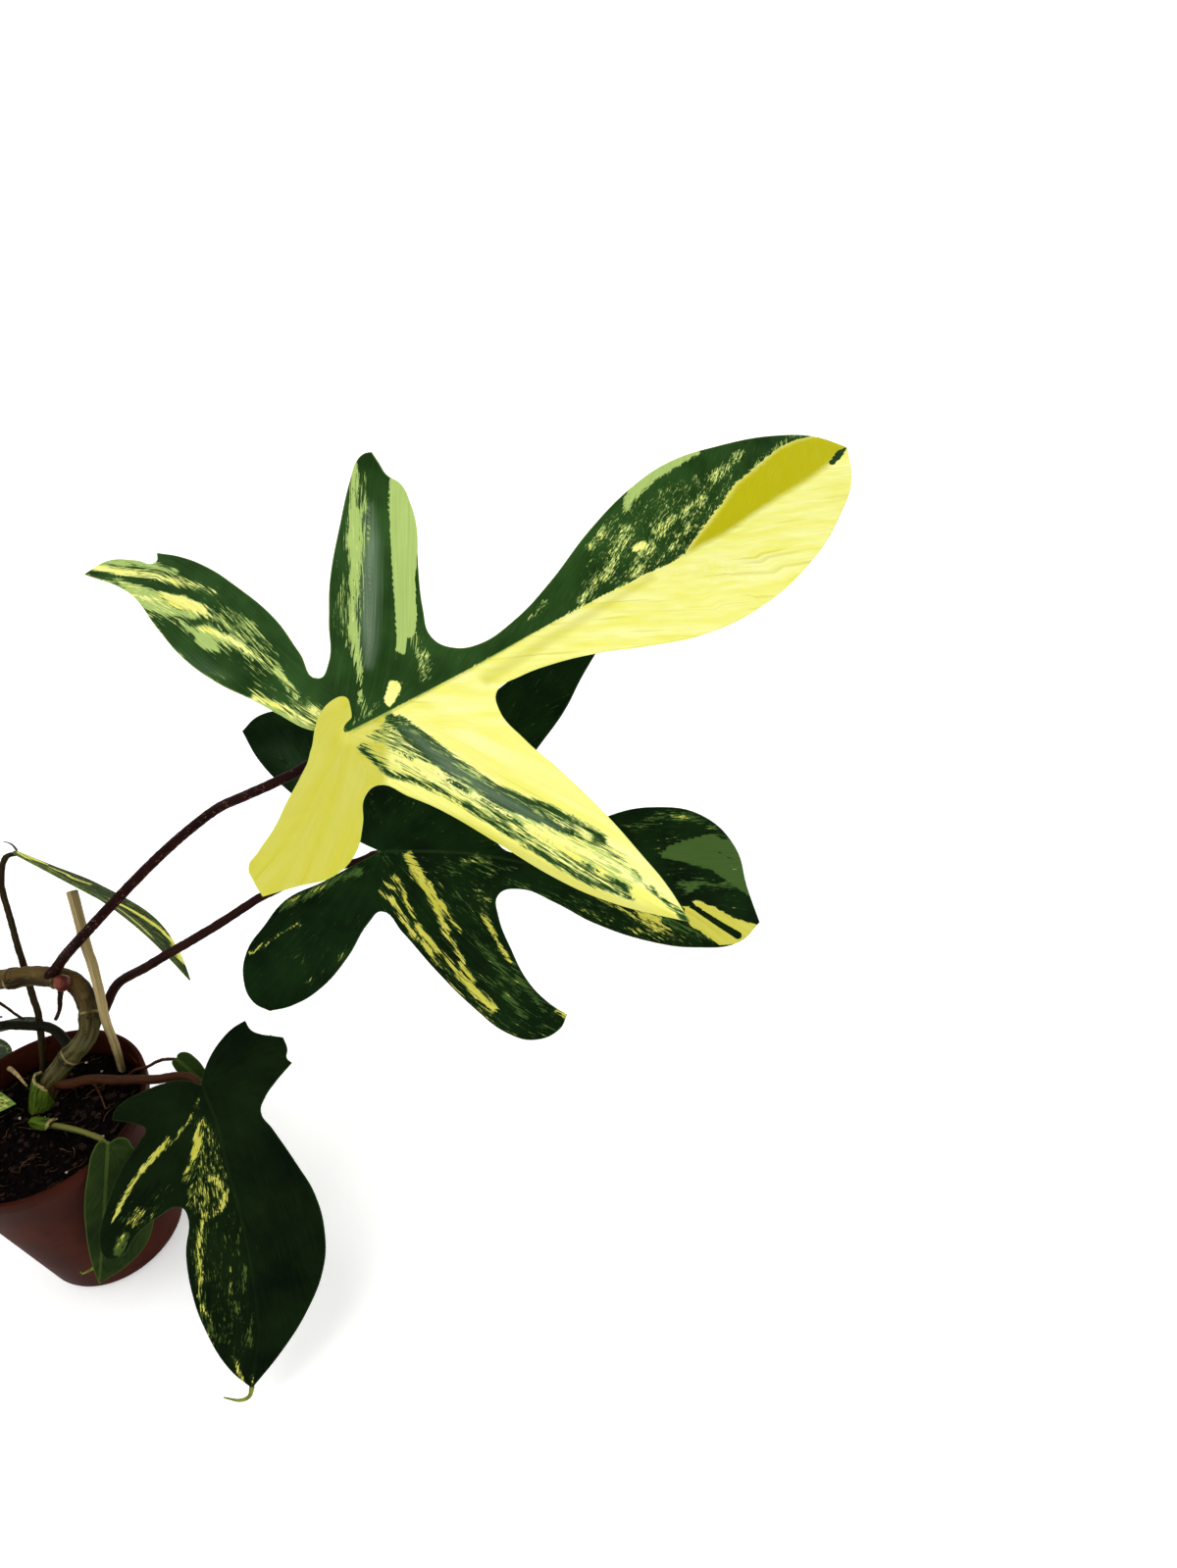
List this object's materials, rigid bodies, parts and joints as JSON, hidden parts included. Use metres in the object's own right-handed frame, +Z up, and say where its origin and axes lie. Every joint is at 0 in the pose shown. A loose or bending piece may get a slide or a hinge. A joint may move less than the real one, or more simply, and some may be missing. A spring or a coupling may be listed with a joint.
{
  "type": "potted philodendron",
  "caption": "Climbing philodendron with deeply lobed, green and yellow variegated leaves on long stalks, in a small round nursery pot with a wooden stake.",
  "frame": {"origin": "centre of the pot's flat base, on the surface it stands on", "axes": "+Z up along the pot's axis; +X the way the large leaves reach; -Y the side that the leaves face"},
  "size_m": [0.6677, 0.2687, 0.3434],
  "materials": {
    "pot_plastic": "satin",
    "compost": "matte",
    "stem_skin": "matte",
    "petiole_skin": "matte",
    "green_petiole_skin": "satin",
    "root_skin": "matte",
    "bud_skin": "satin",
    "stake_wood": "matte",
    "sheath_skin": "matte",
    "leaf_variegated": "satin",
    "leaf_plain": "satin"
  },
  "bodies": {
    "root": {"pot": "pot_plastic", "soil": "compost", "stem": "stem_skin", "stake": "stake_wood", "bud": "bud_skin", "petiole_high": "petiole_skin", "petiole_low": "petiole_skin", "petiole_hanging": "petiole_skin", "petiole_side": "petiole_skin", "petiole_young": "petiole_skin", "petiole_left": "petiole_skin", "petiole_soil": "petiole_skin", "petiole_back": "petiole_skin", "petiole_heart": "green_petiole_skin", "spear": "green_petiole_skin", "root_bud": "root_skin", "root_left": "root_skin", "sheath_stem": "sheath_skin", "sheath_heart": "sheath_skin", "leaf_high": "leaf_variegated", "leaf_low": "leaf_variegated", "leaf_hanging": "leaf_variegated", "leaf_side": "leaf_variegated", "leaf_left": "leaf_variegated", "leaf_soil": "leaf_variegated", "leaf_back": "leaf_variegated", "leaf_heart": "leaf_plain", "leaf_young": "leaf_plain"}
  },
  "joints": []
}
